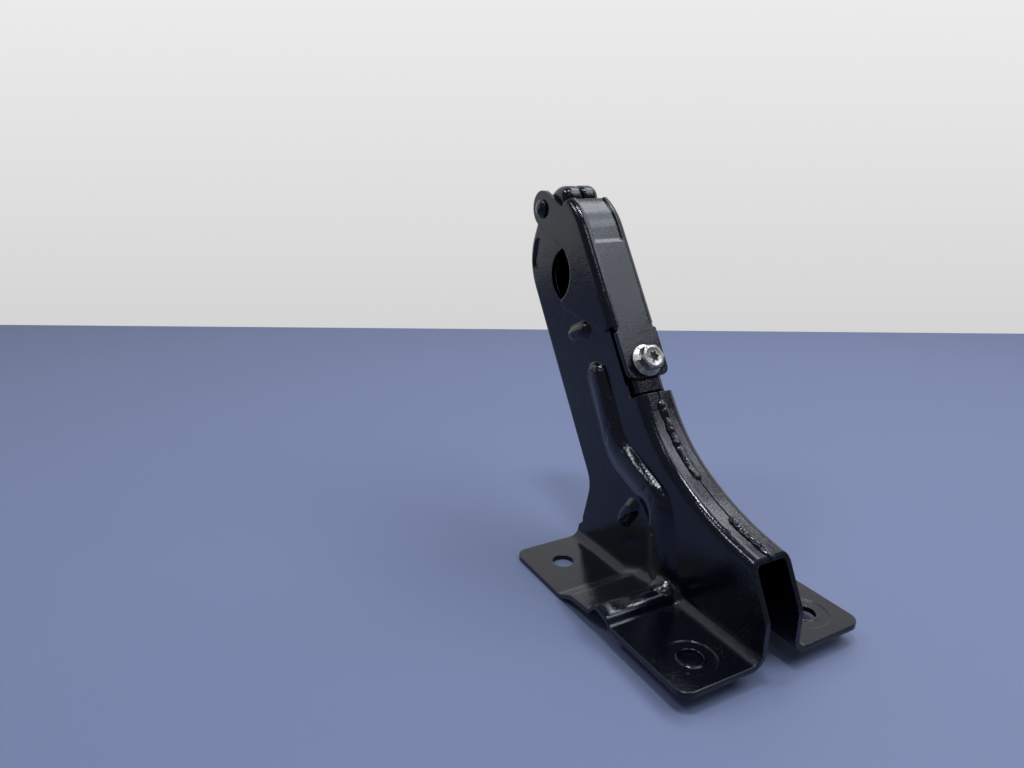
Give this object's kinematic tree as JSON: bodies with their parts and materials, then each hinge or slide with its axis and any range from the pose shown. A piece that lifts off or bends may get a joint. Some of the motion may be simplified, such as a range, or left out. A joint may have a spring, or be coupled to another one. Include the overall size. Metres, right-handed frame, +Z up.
{
  "type": "seat backrest bracket",
  "caption": "Pressed-steel floor bracket for a folding rear seat back: flanged feet, leaning box column, open pivot seat and a hinged strap held shut by a flange bolt.",
  "frame": {"origin": "midpoint between the rear fixing holes, on the face that lies on the floor", "axes": "+X across the vehicle to the seat's left, +Y rearwards, +Z up from the floor"},
  "size_m": [0.11, 0.2105, 0.2045],
  "materials": {
    "black_paint": "gloss",
    "weld": "gloss",
    "zinc": "satin"
  },
  "bodies": {
    "bracket": {"left_shell": "black_paint", "right_shell": "black_paint", "seam_weld_lower": "weld", "seam_weld_upper": "weld", "nut_bracket": "black_paint", "nut_bracket_weld_left": "weld", "nut_bracket_weld_right": "weld", "weld_nut": "black_paint", "hinge_rivet": "black_paint"},
    "strap": {"strap": "black_paint"},
    "bolt": {"flange_bolt": "zinc"}
  },
  "joints": [
    {"name": "strap_hinge", "type": "hinge", "parent": "bracket", "child": "strap", "pos_m": [0, 0.06689, 0.19119], "axis": [-1, 0, 0], "range_deg": [0, 120]},
    {"name": "bolt_unscrew", "type": "slide", "parent": "bracket", "child": "bolt", "axis": [0, -0.8387, 0.5446], "range_m": [0, 0.024]}
  ]
}
